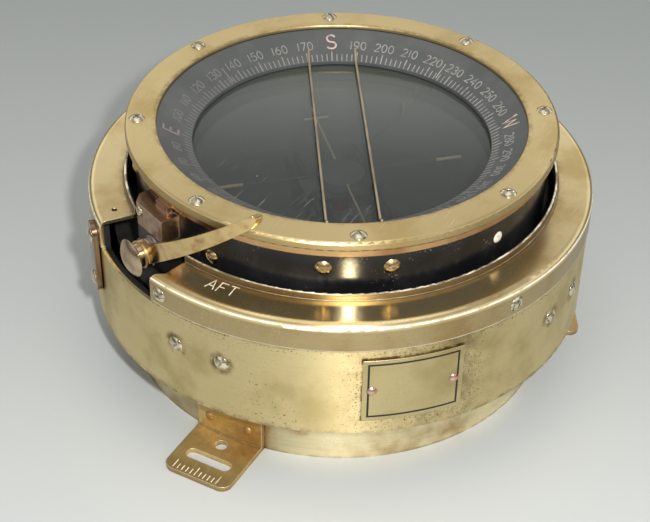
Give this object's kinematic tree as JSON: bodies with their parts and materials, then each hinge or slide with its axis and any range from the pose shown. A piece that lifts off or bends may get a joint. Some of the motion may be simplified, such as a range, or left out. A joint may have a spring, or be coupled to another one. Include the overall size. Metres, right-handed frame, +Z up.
{
  "type": "grid-ring compass",
  "caption": "Round brass compass: a liquid bowl hung on rubber in a footed case, with a turning grid ring over the dial and a lever that clamps it.",
  "frame": {"origin": "centre of the base plate's underside, on the surface the compass stands on", "axes": "+Z up along the axis of the dial, -Y towards the aft foot and the AFT mark, +X to starboard"},
  "size_m": [0.1916, 0.2038, 0.1028],
  "materials": {
    "brass": "satin, lacquered, with fine turning marks",
    "brass_fasteners": "worn",
    "bronze": "brown, rubbed at the edges",
    "black_paint": "gloss black enamel",
    "scale_paint": "satin black",
    "cream_paint": "aged luminous paint",
    "copper_rivets": "rubbed",
    "steel": "bright",
    "alloy": "cast",
    "rubber": "matt",
    "glass": "clear",
    "jewel": "polished"
  },
  "bodies": {
    "case": {"base_ring": "brass", "base_plate": "brass", "base_screws": "brass_fasteners", "case_wall": "brass", "case_rivets": "brass_fasteners", "case_cover": "brass", "cover_screws": "brass_fasteners", "cover_strap": "brass", "strap_screws": "brass_fasteners", "aft_foot": "brass", "port_foot": "brass", "starboard_foot": "brass", "foot_rivets": "brass_fasteners", "nameplate": "brass", "nameplate_rivets": "copper_rivets", "suspension_brackets": "brass", "suspension_screws": "brass_fasteners", "suspension_pads": "rubber", "corrector_box": "alloy", "corrector_magnets": "steel"},
    "bowl": {"bowl": "black_paint", "carrier_ring": "brass", "carrier_screws": "brass_fasteners", "bowl_glass": "glass", "glass_gasket": "rubber", "verge_ring": "black_paint", "diaphragm": "brass", "diaphragm_cover": "black_paint", "diaphragm_screws": "brass_fasteners", "pivot_bridge": "black_paint", "bridge_screws": "brass_fasteners", "pivot_post": "black_paint", "jewel_cup": "jewel", "lubber_line": "cream_paint", "filler_plug": "cream_paint", "band_screws": "brass_fasteners", "ring_keeper": "steel", "clamp_block": "bronze", "clamp_block_screws": "brass_fasteners", "clamp_bush": "steel"},
    "grid_ring": {"grid_ring": "brass", "scale_cone": "scale_paint", "bezel_plate": "brass", "bezel_screws": "brass_fasteners", "grid_wires": "cream_paint"},
    "magnet_system": {"magnet_float": "black_paint", "magnet_yoke": "black_paint", "magnet_bars": "steel", "pivot_pin": "steel", "pointer_wires": "cream_paint", "beam_wires": "black_paint", "beam_tubes": "cream_paint", "damping_wires": "black_paint"},
    "clamp_lever": {"clamp_spindle": "steel", "clamp_lever": "brass", "clamp_nut": "steel", "clamp_knob": "brass"},
    "clamp_shoe": {"clamp_shoe": "bronze"}
  },
  "joints": [
    {"name": "bowl_suspension", "type": "slide", "parent": "case", "child": "bowl", "axis": [0, 0, 1], "range_m": [-0.0015, 0.001], "stiffness_N_per_m": 8000, "springref_m": 0.00296, "deforming": ["suspension_pads"]},
    {"name": "ring_turn", "type": "hinge", "parent": "bowl", "child": "grid_ring", "pos_m": [0, 0, 0.09], "axis": [0, 0, 1], "continuous": true},
    {"name": "magnet_turn", "type": "hinge", "parent": "bowl", "child": "magnet_system", "pos_m": [0, 0, 0.07], "axis": [0, 0, 1], "continuous": true},
    {"name": "clamp_turn", "type": "hinge", "parent": "bowl", "child": "clamp_lever", "pos_m": [-0.03449, -0.07932, 0.071], "axis": [-0.3987, -0.9171, 0], "range_deg": [0, 35]},
    {"name": "shoe_slide", "type": "slide", "parent": "bowl", "child": "clamp_shoe", "axis": [0, 0, 1], "range_m": [-0.00102, 0.00001]}
  ],
  "couplings": [
    {"joint": "shoe_slide", "follows": "clamp_turn", "m_per_rad": -0.00164}
  ]
}
